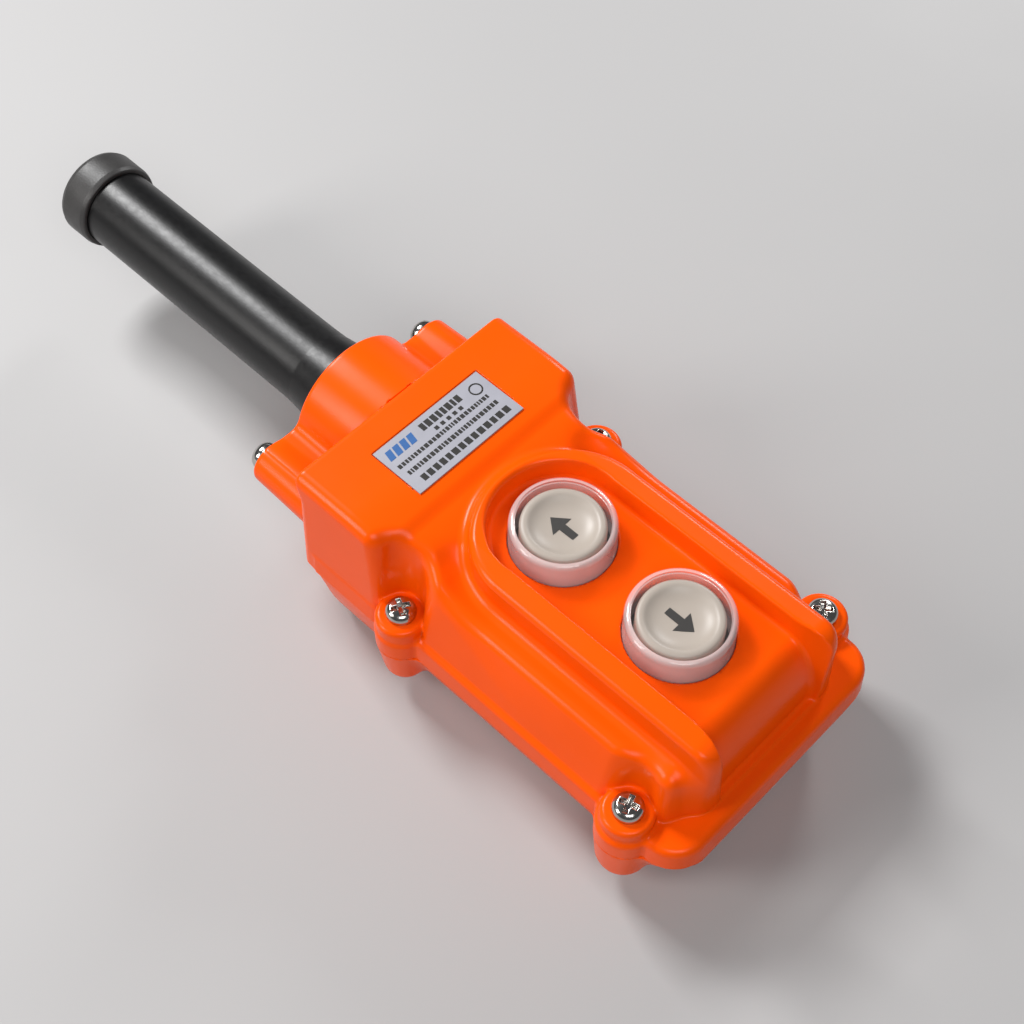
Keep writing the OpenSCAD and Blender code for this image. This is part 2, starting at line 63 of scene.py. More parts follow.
# ---------------------------------------------------------------- signed distances
def smin(a, b, k):
    """Smaller of two distances, blended over a width k."""
    h = np.maximum(k - np.abs(a - b), 0) / k
    return np.minimum(a, b) - h * h * k * 0.25

def smax(a, b, k):
    return -smin(-a, -b, k)

def rmax(a, b, r):
    """Both shapes at once, their convex edge rounded with radius r."""
    return np.minimum(np.maximum(a, b), -r) + np.hypot(np.maximum(a + r, 0), np.maximum(b + r, 0))

def rmin(a, b, r):
    """Either shape, the concave edge between them filled with radius r."""
    return np.maximum(np.minimum(a, b), r) - np.hypot(np.maximum(r - a, 0), np.maximum(r - b, 0))

def rect(x, y, hx, hy, r):
    """Rectangle round the origin with half sizes hx and hy and corner radius r."""
    qx, qy = np.abs(x) - hx + r, np.abs(y) - hy + r
    return np.hypot(np.maximum(qx, 0), np.maximum(qy, 0)) + np.minimum(np.maximum(qx, qy), 0) - r

def half(u, v, p, q):
    """Signed distance to the line from p to q, positive on its left seen along p to q."""
    dx, dy = q[0] - p[0], q[1] - p[1]
    n = math.hypot(dx, dy)
    return ((u - p[0]) * dy - (v - p[1]) * dx) / n

def circle(x, y, cx, cy, r):
    return np.hypot(x - cx, y - cy) - r

def oval(u, v, a, b):
    """Nearly the distance to a quarter of an ellipse with half axes a and b, for u and v from 0 up."""
    ratio = np.hypot(u / a, v / b)
    slope = np.hypot(u / a ** 2, v / b ** 2)
    return np.where(ratio > 0, ratio * (ratio - 1) / np.maximum(slope, 1e-6), -a)

def nets(f, lo, hi, step, newton=3):
    """Surface nets over a grid, drawn onto the surface of f, with its gradient as normals."""
    ax = [np.arange(a, b + step, step, dtype=np.float64) for a, b in zip(lo, hi)]
    shape = tuple(len(a) for a in ax)
    v = f(ax[0][:, None, None], ax[1][None, :, None], ax[2][None, None, :])
    v = np.broadcast_to(v, shape).astype(np.float32)
    inside = v < 0
    count = np.zeros(tuple(s - 1 for s in shape), np.int8)
    for i in (0, 1):
        for j in (0, 1):
            for k in (0, 1):
                count += inside[i:shape[0] - 1 + i, j:shape[1] - 1 + j, k:shape[2] - 1 + k]
    live = (count > 0) & (count < 8)
    cells = np.argwhere(live)
    index = np.full(live.shape, -1, np.int64)
    index[live] = np.arange(len(cells))
    # one point in each cell that the surface crosses, at the mean of the crossings on its edges
    acc = np.zeros((len(cells), 3))
    num = np.zeros(len(cells))
    for axis in range(3):
        for a in (0, 1):
            for b in (0, 1):
                off = [0, 0, 0]
                o1, o2 = [d for d in range(3) if d != axis]
                off[o1], off[o2] = a, b
                c0 = cells + off
                c1 = c0.copy()
                c1[:, axis] += 1
                v0, v1 = v[tuple(c0.T)], v[tuple(c1.T)]
                cross = (v0 < 0) != (v1 < 0)
                t = np.where(cross, v0 / np.where(cross, v0 - v1, 1), 0)
                pos = c0.astype(float)
                pos[:, axis] += t
                acc[cross] += pos[cross]
                num[cross] += 1
    p = acc / num[:, None] * step + np.array(lo, float)
    # one quad round each grid edge that the surface crosses
    quads = []
    for axis in range(3):
        o1, o2 = (axis + 1) % 3, (axis + 2) % 3
        sl0, sl1 = [slice(None)] * 3, [slice(None)] * 3
        sl0[axis], sl1[axis] = slice(0, -1), slice(1, None)
        flip = inside[tuple(sl0)] != inside[tuple(sl1)]
        e = np.argwhere(flip)
        e = e[(e[:, o1] > 0) & (e[:, o2] > 0)]
        e = e[(e[:, o1] < shape[o1] - 1) & (e[:, o2] < shape[o2] - 1)]
        first = inside[tuple(e.T)]
        ring = []
        for d1, d2 in ((1, 1), (0, 1), (0, 0), (1, 0)):
            c = e.copy()
            c[:, o1] -= d1
            c[:, o2] -= d2
            ring.append(index[tuple(c.T)])
        q = np.stack(ring, 1)
        q[~first] = q[~first][:, ::-1]
        quads.append(q)
    faces = np.concatenate(quads)
    # short steps along the gradient put the points on the surface
    for i in range(newton + 1):
        x, y, z = p.T
        h = step * 0.08
        g = np.stack([f(x + h, y, z) - f(x - h, y, z), f(x, y + h, z) - f(x, y - h, z),
                      f(x, y, z + h) - f(x, y, z - h)], 1) / (2 * h)
        n2 = np.maximum((g * g).sum(1), 0.05)
        if i < newton:
            move = -(f(x, y, z) / n2)[:, None] * g
            far = np.linalg.norm(move, axis=1)
            p = p + move * np.minimum(1, 0.45 * step / np.maximum(far, 1e-9))[:, None]
    return p, faces, g / np.sqrt(n2)[:, None]

def mesh_object(name, p, faces, normals=None):
    me = bpy.data.meshes.new(name)
    if isinstance(faces, np.ndarray):
        faces = faces.tolist()
    me.from_pydata((np.asarray(p) * MM).tolist(), [], faces)
    me.validate()
    me.update()
    me.polygons.foreach_set("use_smooth", [True] * len(me.polygons))
    if normals is not None:
        me.normals_split_custom_set_from_vertices(normals.tolist())
    ob = bpy.data.objects.new(name, me)
    scene.collection.objects.link(ob)
    return ob

# ---------------------------------------------------------------- casing shapes
UP_Y, DOWN_Y = 8.3, -30.7                  # middles of the buttons
HW, HL = 40.0, 67.6                        # half width and half length of the casing
FOOT_R, HEAD_R = 10, 7.5                   # corners of its plan
PART = 21.5                                # height of the parting face
HEAD_Z = 57.8                              # top of the raised head
RIM_W, RIM_Z, RIM_Y = 25.2, 56.9, -62.7    # half width, top and foot end of the guard rims
CHANNEL_W = 18.2                           # half width of the channel between the rims
FLANGE_Z = 29.6                            # top of the flange round the casing
SX, SY1, SY2 = 37.5, 29.8, -48.8           # cover screws
SEAT_Z = 33.5                              # seat of their heads
EAR_X, EAR_Z = 30, 36                      # collar screws
AXZ = 37.0                                 # height of the cable axis
PLATE_Y, PLATE_Z = 49.0, 57.2              # middle and underside of the name plate
STRAP_X, STRAP_Y = 13, 50                  # posts of the cable strap
WALL = 2.2                                 # wall of the cover

def plan(x, y, hw, y0, y1):
    m, h = (y0 + y1) / 2, (y1 - y0) / 2
    return rect(x, y - m, hw, h, np.where(y < m, FOOT_R, HEAD_R))

def cover_skin(x, y, z):
    """Outside of the front cover."""
    ax = np.abs(x)
    # side walls, the ledge beside the rim and the slope that falls from the head
    wall = half(ax, z, (38.4, 29), (36.8, 39.1))
    ledge = rmax(half(ax, z, (36.8, 39.1), (33.2, 46.7)), half(ax, z, (33.2, 46.7), (24, 46.2)), 2.5)
    slope = ((z - 45.6) * 27.5 - (y - 9) * 12.2) / 30.1
    top = smax(z - HEAD_Z, slope, 5)
    fall = rmax(half(ax, z, (36.8, 37.5), (33.0, 52.5)), top, 4.5)
    t = np.clip((21 - y) / 17, 0, 1)
    scoop = np.sqrt((ax - 25.5) ** 2 + (z - 53.5 + 2.5 * t) ** 2 + np.maximum(y - 14, 0) ** 2 * 0.3) - 5.2
    fall = smax(fall, -scoop, 4)
    mid = rmax(wall, smin(ledge, fall, 3), 4)
    nose = oval(np.maximum(-46.5 - y, 0), np.maximum(z - 34, 0), 13.8, 22.5)
    corner = (ax * 0.62 - y * 0.785) - 64.5 + (z - 30) * 0.12
    mid = rmax(mid, smax(nose, corner, 5), 3.5)
    mid = np.maximum(mid, y - 60)
    # guard rim, narrow round the upper button
    arch = (np.hypot(x / RIM_W, (y - UP_Y) / 22.3) - 1) * 23.7
    u = np.where(y < UP_Y, ax - RIM_W, arch)
    end = RIM_Y - y
    u = rmax(u, end, 5.5)
    rim = rmax(z - RIM_Z + np.maximum(ax - 19.5, 0) * 0.13, end, 7.5)
    rim = rmax(u - (56.6 - z) * 0.03, rim, 1.9)
    body = rmin(mid, rim, 3.2)
    # raised head
    head = rmax(half(ax, z, (HW, PART), (38.1, 54.4)), top, 3.4)
    head = rmax(head, y - HL + (z - PART) * 0.004, 1.1 + 3 * np.clip((56 - z) / 7, 0, 1))
    head = rmax(head, 34.5 - y, 3.0)
    body = rmin(body, head, 2.0)
    # grooves round the screws
    for cy in (SY1, SY2):
        cone = np.hypot(ax - SX, y - cy) - 6.2 - np.maximum(z - 36, 0) * 0.1
        body = -rmin(-body, cone, 3.6)
    # flange
    flange = rmax(plan(x, y, HW, -HL, HL) + (z - PART) * 0.06, z - FLANGE_Z, 2.2)
    body = rmin(body, flange, 0.8)
    # screw bosses, each with a wider lobe at the flange
    for cy in (SY1, SY2):
        r = np.hypot(ax - SX, y - cy)
        ring = rmax(np.maximum(r - 7.0, 24 - z), z - SEAT_Z, 1.5)
        low = rmax(r - (8.0 if cy < 0 else 7.5), z - 28.9, 1.8)
        body = rmin(body, rmin(ring, low, 0.5), 0.9)
    # channel
    arch = np.hypot(x, y - UP_Y) - CHANNEL_W - 0.9 * np.clip((y - UP_Y) / 8, 0, 1)
    ch = np.where(y < UP_Y, ax - CHANNEL_W, arch)
    ch = ch - (z - 50) * 0.09 - 0.016 * np.maximum(-50 - y, 0) ** 2
    floor = oval(np.maximum(-50.5 - y, 0), np.maximum(z - 29.9, 0), 9.6, 20.1)
    ch = rmax(ch, -floor, 1.4)
    ch = rmax(ch, 29.9 - z, 0.8)
    soft = 0.5 + 1.3 * np.clip((y - 20) / 8, 0, 1)
    return -rmin(-body, ch, soft)

def cover(x, y, z):
    """Front cover with its hollow and holes."""
    ax = np.abs(x)
    d = cover_skin(x, y, z)
    # hollow, with the posts that stand in it
    cav = rmax(half(ax, z, (32.8, 30), (32.8, 36)), half(ax, z, (32.8, 35), (24, 47)), 2)
    cav = np.maximum(np.maximum(cav, z - 47), y - 40)
    cav = np.maximum(cav, half(y, z, (-54, 47), (-58, 20)))
    low = np.maximum(rect(x, y, 32.8, 60.2, 7), z - 25.5)
    up = np.maximum(np.maximum(ax - 32.8, z - 54.6), np.abs(y - 50) - 14)
    cav = np.minimum(np.minimum(cav, low), up)
    for cx, cy in ((15, UP_Y + 13.5), (15, DOWN_Y - 13.5)):
        cav = np.maximum(cav, -np.maximum(np.hypot(ax - cx, y - cy) - 3.4, 45.2 - z))
    cav = np.maximum(cav, -(circle(ax, y, SX, SY1, 8.6) - np.maximum(z - SEAT_Z, 0) * 0.2))
    cav = np.maximum(cav, -circle(ax, y, SX, SY2, 9.0))
    cav = np.maximum(cav, -np.maximum(circle(ax, z, EAR_X, EAR_Z, 5.6), 55 - y))
    d = np.maximum(d, -np.maximum(cav, d + WALL))
    # holes for the buttons, the screws, the cable and the plate
    for cy in (UP_Y, DOWN_Y):
        hole = np.maximum(circle(x, y, 0, cy, 14.2), 40 - z)
        d = -rmin(-d, hole, 0.35)
    for cy in (SY1, SY2):
        d = np.maximum(d, -circle(ax, y, SX, cy, 2.3))
    d = np.maximum(d, -np.maximum(circle(ax, z, EAR_X, EAR_Z, 2.9), 57 - y))
    d = np.maximum(d, -np.maximum(circle(x, z, 0, AXZ, 8.6), 55 - y))
    d = np.maximum(d, -np.maximum(rect(x, y - PLATE_Y, 19.1, 9.0, 0.4), PLATE_Z - z))
    return np.maximum(d, PART - z)

def rear_skin(x, y, z):
    """Outside of the rear casing, which narrows towards the back."""
    ax = np.abs(x)
    d = np.maximum(PART - z, 0)
    t = d / PART
    wide = np.clip((y - 22) / 20, 0, 1)
    wide = wide * wide * (3 - 2 * wide)
    sx = (5.4 * t + 2.6 * t * t) * (1 - wide) + (1.2 * t + 4.2 * t * t) * wide
    sy = 2.6 * t + 2.0 * t * t
    pl = plan(x, y, HW - sx, -HL + sy, HL - sy)
    # slanted corners
    foot = (ax - y) * 0.7071 - 71.8 + 0.48 * d
    head = (ax + y) * 0.7071 - 72.3 + 0.2 * d + np.minimum(d, 5) * 0.2
    pl = rmax(pl, foot * 0.9, 1.6)
    pl = rmax(pl, head, 1.6)
    d = rmax(pl, -z, 6.0)
    # screw columns
    drop = np.clip(PART - z, 0, 20)
    for cy, radius in ((SY1, 7.5 - 0.13 * drop), (SY2, 8.0 - 0.07 * drop)):
        d = smin(d, rmax(circle(ax, y, SX, cy, radius), 4.5 - z, 5.5), 2.5)
    return d

def rear(x, y, z):
    """Rear casing with its hollow, the posts of the strap and the screw holes."""
    ax = np.abs(x)
    d = rear_skin(x, y, z)
    cav = np.maximum(rect(x, y, 31.5, 59, 6), 3 - z)
    for cy in (SY1, SY2):
        cav = np.maximum(cav, -circle(ax, y, SX, cy, 6.4))
    along = np.abs(y - STRAP_Y)
    post = circle(ax, y, STRAP_X, STRAP_Y, 4)
    bar = np.maximum(ax - STRAP_X, along - 3)
    cav = np.maximum(cav, -np.maximum(circle(ax, y, 24.5, -11.2, 4), z - 4.5))
    cav = np.maximum(cav, -np.maximum(post, z - 31))
    cav = np.maximum(cav, -np.maximum(bar, z - 28))
    body = np.maximum(np.maximum(d, -cav), z - PART)
    stand = np.maximum(np.minimum(post, bar), np.maximum(2 - z, z - 31))
    stand = np.maximum(stand, -np.maximum(circle(x, z, 0, AXZ, 7.3), along - 6))
    stand = np.maximum(stand, -np.maximum(np.maximum(28 - z, ax - 9), along - 6))
    d = np.minimum(body, stand)
    for cy in (SY1, SY2):
        d = np.maximum(d, -np.maximum(circle(ax, y, SX, cy, 2.9), 12 - z))
    return np.maximum(d, -np.maximum(circle(ax, y, STRAP_X, STRAP_Y, 1.3), 12 - z))

def collar(x, y, z):
    """Clamp collar: a neck with an ear on each side and a bore for the sleeve."""
    ax = np.abs(x)
    neck = circle(x, z, 0, AXZ, 20) - (89 - y) * 0.012
    ear = circle(ax, z, EAR_X, EAR_Z, 6.2) - (89 - y) * 0.03
    web = np.maximum(ax - EAR_X, np.abs(z - 36.2) - 5.4)
    d = smin(neck, rmin(ear, web, 1.5), 3.0)
    d = rmax(d, y - 88.8, 0.8)
    d = np.maximum(d, 67.66 - y)
    d = np.maximum(d, 17.8 - z)
    d = np.maximum(d, -np.maximum(circle(x, z, 0, AXZ, 16.4), y - 76.4))
    d = -rmin(-d, circle(x, z, 0, AXZ, 13.65), 0.6)
    return np.maximum(d, -circle(ax, z, EAR_X, EAR_Z, 2.25))

def pan_head(x, y, z):
    """Screw head with its seat at z = 0: a dome cut by a cross recess."""
    r = np.hypot(x, y)
    d = rmax(r - 4.15, -z, 0.25)
    d = rmax(d, np.sqrt(r * r + (z + 8.8) ** 2) - 12.0, 1.6)
    u, v = np.maximum(np.abs(x), np.abs(y)), np.minimum(np.abs(x), np.abs(y))
    sides = np.maximum(v - 0.55 - 0.06 * (z - 1.4), u - 2.5 - 0.2 * (z - 3))
    bottom = 1.2 + np.maximum(u - 0.9, 0) * 0.5 - z
    return -rmin(-d, rmax(sides, bottom, 0.2), 0.25)

# ---------------------------------------------------------------- plain mesh helpers
def lathe(name, profile, segs=96, axis="z", at=(0, 0, 0)):
    """A closed profile of (r, h) points turned about an axis. Points on the axis make a fan."""
    v, rows = [], []
    for r, h in profile:
        if r < 1e-6:
            rows.append([len(v)])
            v.append((0, 0, h))
        else:
            rows.append(list(range(len(v), len(v) + segs)))
            for i in range(segs):
                a = 2 * math.pi * i / segs
                v.append((r * math.cos(a), r * math.sin(a), h))
    f = []
    for a, b in zip(rows, rows[1:] + [rows[0]]):
        if len(a) == 1 and len(b) == 1:
            continue
        for i in range(segs):
            j = (i + 1) % segs
            if len(a) == 1:
                f.append((a[0], b[j], b[i]))
            elif len(b) == 1:
                f.append((a[i], a[j], b[0]))
            else:
                f.append((a[i], a[j], b[j], b[i]))
    p = np.array(v, float)
    if axis == "y":
        p = np.stack([p[:, 0], p[:, 2], -p[:, 1]], 1)
    ob = mesh_object(name, p + np.array(at, float), f)
    fix_normals(ob)
    return ob

def fix_normals(ob):
    bm = bmesh.new()
    bm.from_mesh(ob.data)
    bmesh.ops.recalc_face_normals(bm, faces=bm.faces)
    bm.to_mesh(ob.data)
    bm.free()

def round_profile(points, r=0.3, n=4):
    """Rounds each corner of a closed profile that has room for it."""
    out = []
    m = len(points)
    for i in range(m):
        p0, p1, p2 = (np.array(points[(i + k) % m][:2], float) for k in (-1, 0, 1))
        rr = points[i][2] if len(points[i]) > 2 else r
        a, b = p0 - p1, p2 - p1
        la, lb = np.linalg.norm(a), np.linalg.norm(b)
        if rr <= 0 or p1[0] < 1e-6:
            out.append(tuple(p1))
            continue
        c = np.dot(a, b) / la / lb
        if c < -0.999:
            out.append(tuple(p1))
            continue
        half_a = math.acos(max(-1, min(1, c))) / 2
        t = min(rr / math.tan(half_a), la * 0.48, lb * 0.48)
        s, e = p1 + a / la * t, p1 + b / lb * t
        for k in range(n + 1):
            w = k / n
            out.append(tuple((1 - w) ** 2 * s + 2 * w * (1 - w) * p1 + w * w * e))
    return out

def auto_smooth(ob, angle=35):
    """Smooth shading with a crease where two faces meet at more than the angle."""
    for p in ob.data.polygons:
        p.use_smooth = True
    bm = bmesh.new()
    bm.from_mesh(ob.data)
    for e in bm.edges:
        e.smooth = len(e.link_faces) != 2 or e.calc_face_angle(0) < math.radians(angle)
    bm.to_mesh(ob.data)
    bm.free()
    return ob

def join(name, obs):
    bpy.ops.object.select_all(action="DESELECT")
    for o in obs:
        o.select_set(True)
    bpy.context.view_layer.objects.active = obs[0]
    bpy.ops.object.join()
    obs[0].name = name
    obs[0].data.name = name
    return obs[0]

def prism(name, outline, z0, z1, bevel=0.0):
    """A flat outline raised from z0 to z1."""
    bm = bmesh.new()
    vs = [bm.verts.new((x * MM, y * MM, z0 * MM)) for x, y in outline]
    face = bm.faces.new(vs)
    top = bmesh.ops.extrude_face_region(bm, geom=[face])["geom"]
    for g in top:
        if isinstance(g, bmesh.types.BMVert):
            g.co.z = z1 * MM
    bmesh.ops.recalc_face_normals(bm, faces=bm.faces)
    if bevel:
        bmesh.ops.bevel(bm, geom=list(bm.edges), offset=bevel * MM, segments=2, affect="EDGES", profile=0.5)
    me = bpy.data.meshes.new(name)
    bm.to_mesh(me)
    bm.free()
    ob = bpy.data.objects.new(name, me)
    scene.collection.objects.link(ob)
    return ob

# ---------------------------------------------------------------- materials
BUMP_DEPTH = 0.0002   # metres

def material(name, colour, rough=0.4, metallic=0.0, vary=0.06, scale=60, bump=0.05, bump_scale=900,
             rough_vary=0.08, **sockets):
    """Principled surface with a little noise in its colour, roughness and height."""
    m = bpy.data.materials.new(name)
    m.use_nodes = True
    nt = m.node_tree
    bsdf = nt.nodes["Principled BSDF"]
    geo = nt.nodes.new("ShaderNodeTexCoord")
    noise = nt.nodes.new("ShaderNodeTexNoise")
    noise.inputs["Scale"].default_value = scale
    noise.inputs["Detail"].default_value = 4
    nt.links.new(geo.outputs["Object"], noise.inputs["Vector"])
    ramp = nt.nodes.new("ShaderNodeValToRGB")
    c = np.array(colour[:3])
    lo, hi = c * (1 - vary), np.minimum(c * (1 + vary), 1)
    ramp.color_ramp.elements[0].position, ramp.color_ramp.elements[1].position = 0.3, 0.7
    ramp.color_ramp.elements[0].color = (*lo, 1)
    ramp.color_ramp.elements[1].color = (*hi, 1)
    nt.links.new(noise.outputs["Fac"], ramp.inputs["Fac"])
    nt.links.new(ramp.outputs["Color"], bsdf.inputs["Base Color"])
    if rough_vary:
        mr = nt.nodes.new("ShaderNodeMapRange")
        mr.inputs["From Min"].default_value, mr.inputs["From Max"].default_value = 0.3, 0.7
        mr.inputs["To Min"].default_value = max(0.02, rough * (1 - rough_vary))
        mr.inputs["To Max"].default_value = min(1, rough * (1 + rough_vary))
        n2 = nt.nodes.new("ShaderNodeTexNoise")
        n2.inputs["Scale"].default_value = scale * 2.3
        n2.inputs["Detail"].default_value = 5
        nt.links.new(geo.outputs["Object"], n2.inputs["Vector"])
        nt.links.new(n2.outputs["Fac"], mr.inputs["Value"])
        nt.links.new(mr.outputs["Result"], bsdf.inputs["Roughness"])
    else:
        bsdf.inputs["Roughness"].default_value = rough
    if bump:
        n3 = nt.nodes.new("ShaderNodeTexNoise")
        n3.inputs["Scale"].default_value = bump_scale
        n3.inputs["Detail"].default_value = 3
        nt.links.new(geo.outputs["Object"], n3.inputs["Vector"])
        b = nt.nodes.new("ShaderNodeBump")
        b.inputs["Strength"].default_value = bump
        b.inputs["Distance"].default_value = BUMP_DEPTH
        nt.links.new(n3.outputs["Fac"], b.inputs["Height"])
        nt.links.new(b.outputs["Normal"], bsdf.inputs["Normal"])
    bsdf.inputs["Metallic"].default_value = metallic
    for k, val in sockets.items():
        bsdf.inputs[k.replace("_", " ")].default_value = val
    return m

ORANGE = material("orange_abs", (0.92, 0.088, 0.0005), 0.25, vary=0.04, scale=30, bump=0.03, bump_scale=420,
                  IOR=1.28, Specular_IOR_Level=0.4)
RUBBER = material("sleeve_rubber", (0.003, 0.0028, 0.003), 0.36, vary=0.15, scale=300, bump=0.08,
                  bump_scale=1500, rough_vary=0.10, IOR=1.42)
RING = material("ring_rubber", (0.03, 0.0285, 0.028), 0.46, vary=0.2, scale=160, bump=0.25, bump_scale=1500)
IVORY = material("ivory_plastic", (0.41, 0.355, 0.305), 0.40, vary=0.03, scale=40, bump=0.02, bump_scale=600)
INK = material("black_ink", (0.007, 0.0055, 0.004), 0.6, vary=0.2, scale=300, bump=0.02)
CHROME = material("nickel_plate", (0.52, 0.50, 0.47), 0.16, metallic=1, vary=0.05, scale=400, bump=0.03,
                  bump_scale=2500, rough_vary=0.35)
ZINC = material("zinc_plate", (0.62, 0.62, 0.64), 0.32, metallic=1, vary=0.08, scale=300, bump=0.04,
                bump_scale=2000)
BRASS = material("brass", (0.66, 0.45, 0.17), 0.25, metallic=1, vary=0.08, scale=260, bump=0.03,
                 bump_scale=1800)
COPPER = material("copper", (0.75, 0.36, 0.20), 0.28, metallic=1, vary=0.08, scale=260, bump=0.03,
                  bump_scale=1800)
BLACK = material("black_moulding", (0.022, 0.022, 0.023), 0.45, vary=0.15, scale=120, bump=0.08)
PHENOL = material("phenolic", (0.075, 0.028, 0.016), 0.35, vary=0.2, scale=200, bump=0.06)
FOIL = material("plate_foil", (0.34, 0.34, 0.385), 0.42, metallic=0.15, vary=0.04, scale=120, bump=0.03,
                bump_scale=1500)
BLUE = material("plate_blue", (0.02, 0.10, 0.30), 0.4, vary=0.06, scale=300, bump=0)
SEAL = material("seal_rubber", (0.02, 0.02, 0.02), 0.6, vary=0.2, scale=200, bump=0.1)
CLEAR = material("clear_silicone", (0.90, 0.70, 0.68), 0.12, vary=0.02, scale=40, bump=0.02,
                 bump_scale=300, Alpha=0.42, Coat_Weight=1.0, Coat_Roughness=0.03)
CLEAR_TOP = material("clear_silicone_top", (0.40, 0.38, 0.37), 0.08, vary=0.01, scale=40, bump=0.01,
                     bump_scale=300, Alpha=0.03, Coat_Weight=1.0, Coat_Roughness=0.03)

def dress(ob, mat, slot, *nodes, body="housing"):
    """Gives a piece its material and body and hides the CAD nodes that it stands for; the slot is not used.
    """
    ob.data.materials.clear()
    ob.data.materials.append(mat)
    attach(ob, body)
    if nodes:
        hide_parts(*nodes)
    return ob

# ---------------------------------------------------------------- casing pieces
for node, shape, lo, hi, step in (
        ("front_cover", cover, (-46.5, -69, 20.3), (46.5, 69, 59.2), 0.62),
        ("rear_casing", rear, (-46.8, -69, -1), (46.8, 69, 32), 0.8),
        ("gland_collar", collar, (-38, 66.2, 15), (38, 90.2, 59), 0.6)):
    moulding = mesh_object(node + "_moulding", *nets(shape, lo, hi, step))
    dress(moulding, ORANGE, "orange_shell", node)

# screws: a domed head and a grooved shank each, turned to different angles
NECK_Y = 88.8                                   # end face of the collar
THREAD_R, ROOT_R, PITCH = 1.97, 1.72, 0.7
HEAD_TURNS = (0.3, 1.1, 0.7, 1.9)               # radians
head_p, head_f, head_n = nets(pan_head, (-4.5, -4.5, -0.4), (4.5, 4.5, 3.7), 0.14, 2)

def shank_profile(length):
    prof = [(0, -length), (1.5, -length), (THREAD_R, -length + 0.6)]
    h = -length + 0.6
    while h < -0.8:
        prof += [(THREAD_R, h), (ROOT_R, h + PITCH / 2)]
        h += PITCH
    return prof + [(THREAD_R, 0.1), (0, 0.1)]

def screws(name, spots, length, facing_y=False, tall=1.0):
    obs = []
    for i, spot in enumerate(spots):
        a = HEAD_TURNS[i]
        rot = np.array([[math.cos(a), -math.sin(a), 0], [math.sin(a), math.cos(a), 0], [0, 0, 1]])
        if facing_y:
            rot = np.array([[1, 0, 0], [0, 0, 1], [0, -1, 0]]) @ rot
        obs.append(mesh_object(f"{name}_{i}", (head_p * (1, 1, tall)) @ rot.T + spot, head_f, head_n @ rot.T))
        shank = lathe(f"{name}_s{i}", shank_profile(length), 24)
        q = np.array([v.co[:] for v in shank.data.vertices]) @ rot.T + np.array(spot) * MM
        shank.data.vertices.foreach_set("co", q.ravel())
        obs.append(shank)
    return join(name, obs)

def washer(side):
    prof = [(2.1, NECK_Y), (4.6, NECK_Y), (4.6, NECK_Y + 0.85), (2.1, NECK_Y + 0.85)]
    return auto_smooth(lathe(f"w{side}", round_profile(prof, 0.2), 48, "y", (side * EAR_X, 0, EAR_Z)))

spots = [(s * SX, cy, SEAT_Z) for cy in (SY1, SY2) for s in (1, -1)]
dress(screws("cover_screw_set", spots, 23), CHROME, "bright_steel", "cover_screws")
spots = [(s * EAR_X, NECK_Y + 0.9, EAR_Z) for s in (1, -1)]
dress(screws("collar_screw_set", spots, 29, True, 1.12), CHROME, "bright_steel", "collar_screws")
dress(join("collar_washer_set", [washer(1), washer(-1)]), CHROME, "bright_steel", "collar_washers")

# sleeve and end ring, each from (radius, y, corner radius)
BORE_R, MOUTH_Y = 7, 202
SLEEVE = [(BORE_R, 67.8, 0), (16, 67.8, 0.4), (16, 74.9, 0.4), (13.5, 74.9, 0.2), (13.5, 90.2, 1.5),
          (12.9, 94, 4), (12.0, 101, 6), (11.85, 106, 4), (11.8, 140, 0), (11.85, 185, 0),
          (11.85, MOUTH_Y - 0.7, 0.5), (11.2, MOUTH_Y, 0.5), (BORE_R, MOUTH_Y, 0.5)]
BAND = [(11.9, 191, 0.2), (13.1, 191, 0.7), (13.55, 192.6, 0.7), (13.6, 200.4, 0.9),
        (12.9, MOUTH_Y, 0.6), (11.9, MOUTH_Y, 0.2)]
tube = lathe("cable_sleeve_tube", round_profile(SLEEVE, n=5), 128, "y", (0, 0, AXZ))
dress(auto_smooth(tube), RUBBER, "sleeve_rubber", "cable_sleeve")
band = lathe("sleeve_end_band", round_profile(BAND, n=5), 128, "y", (0, 0, AXZ))
dress(auto_smooth(band), RING, "ring_rubber", "sleeve_end_ring")

# buttons: (radius, z) profiles of the cap and the boot, and the outline of the up arrow
CAP = [(0, 53.7), (4.02, 53.7), (4.02, 38), (5.9, 38), (6, 38.2), (6, 53), (9.6, 53), (9.6, 44), (10.9, 44),
       (11.25, 44.4), (11.25, 50), (11.22, 55.7), (11.1, 56.35), (10.8, 56.75), (10.4, 56.95), (9.9, 57.0),
       (9.4, 56.97), (8.95, 56.8), (8.5, 56.52), (8.0, 56.2), (7.3, 55.85), (6.5, 55.55), (5.5, 55.3),
       (4.2, 55.12), (2.5, 55.03), (0, 55)]
BOOT = [(0, 57.15), (12.2, 57.15), (12.75, 57.0), (13.05, 56.5), (13.1, 56), (13.1, 45.3), (16.5, 45.3),
        (16.6, 45.5), (16.6, 46.6), (16.4, 46.8), (14.15, 46.8), (14.0, 47), (14.0, 56.4), (13.9, 57.05),
        (13.6, 57.6), (13.1, 57.9), (12.5, 58), (0, 58)]
ARROW = [(-3.4, 0.3), (-1.1, 0.3), (-1.1, -4.4), (1.1, -4.4), (1.1, 0.3), (3.4, 0.3), (0, 4.5)]

def cap(tag, cy):
    ob = auto_smooth(lathe("push_button_%s_cap" % tag, CAP, 96, "z", (0, cy, 0)), 50)
    dress(ob, IVORY, "ivory", "push_button_" + tag, body=tag + "_button")

def arrow(tag, cy):
    s = 1 if tag == "up" else -1
    ob = prism("button_arrow_" + tag, [(s * x, cy + s * y) for x, y in ARROW], 54.9, 55.16, 0.05)
    dress(ob, INK, "mark_ink", "button_mark_" + tag, body=tag + "_button")

